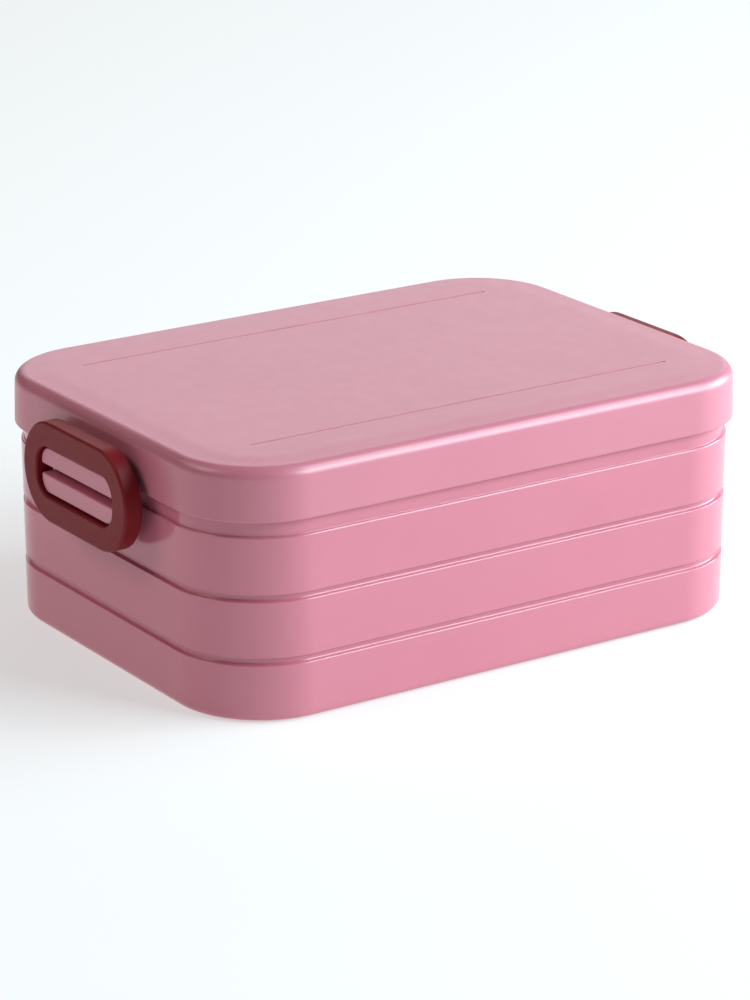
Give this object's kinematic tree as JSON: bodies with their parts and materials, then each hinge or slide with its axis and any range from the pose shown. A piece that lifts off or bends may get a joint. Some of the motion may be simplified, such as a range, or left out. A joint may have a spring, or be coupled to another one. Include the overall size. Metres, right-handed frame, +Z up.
{
  "type": "bento lunch box",
  "caption": "Rounded rectangular lunch box with an overlapping lid, grooved sides, swinging ring clips on the short ends, lift-out trays, a divider and a small fork.",
  "frame": {"origin": "centre of the flat underside of the tub, on the surface that the box stands on", "axes": "+X along the box's length towards one clip, -Y towards the long side seen in front, +Z up through the lid"},
  "size_m": [0.178, 0.12, 0.065],
  "materials": {
    "tub_pink": "satin gloss pink",
    "lid_pink": "satin pink",
    "clip_wine": "matte wine red",
    "tray_pale": "satin off-white",
    "fork_wine": "satin wine red"
  },
  "bodies": {
    "base": {"base_box": "tub_pink"},
    "lid": {"lid": "lid_pink"},
    "clip_left": {"clip_left": "clip_wine"},
    "clip_right": {"clip_right": "clip_wine"},
    "tray_large": {"tray_large": "tray_pale"},
    "tray_small": {"tray_small": "tray_pale"},
    "divider": {"tray_divider": "tray_pale"},
    "fork": {"fork": "fork_wine"}
  },
  "joints": [
    {"name": "lid_lift", "type": "slide", "parent": "base", "child": "lid", "axis": [0, 0, 1], "range_m": [0, 0.16]},
    {"name": "clip_left_hinge", "type": "hinge", "parent": "base", "child": "clip_left", "pos_m": [-0.0853, 0, 0.0386], "axis": [0, -1, 0], "range_deg": [0, 105]},
    {"name": "clip_right_hinge", "type": "hinge", "parent": "base", "child": "clip_right", "pos_m": [0.0853, 0, 0.0386], "axis": [0, 1, 0], "range_deg": [0, 105]},
    {"name": "tray_large_lift", "type": "slide", "parent": "base", "child": "tray_large", "axis": [0, 0, 1], "range_m": [0, 0.08]},
    {"name": "tray_small_lift", "type": "slide", "parent": "base", "child": "tray_small", "axis": [0, 0, 1], "range_m": [0, 0.08]},
    {"name": "divider_lift", "type": "slide", "parent": "tray_large", "child": "divider", "axis": [0, 0, 1], "range_m": [0, 0.032]},
    {"name": "fork_lift", "type": "slide", "parent": "tray_large", "child": "fork", "axis": [0, 0, 1], "range_m": [0, 0.04]}
  ],
  "couplings": [
    {"joint": "tray_large_lift", "follows": "lid_lift", "ratio": 0.5},
    {"joint": "tray_small_lift", "follows": "lid_lift", "ratio": 0.5},
    {"joint": "divider_lift", "follows": "lid_lift", "ratio": 0.2},
    {"joint": "fork_lift", "follows": "lid_lift", "ratio": 0.25}
  ]
}
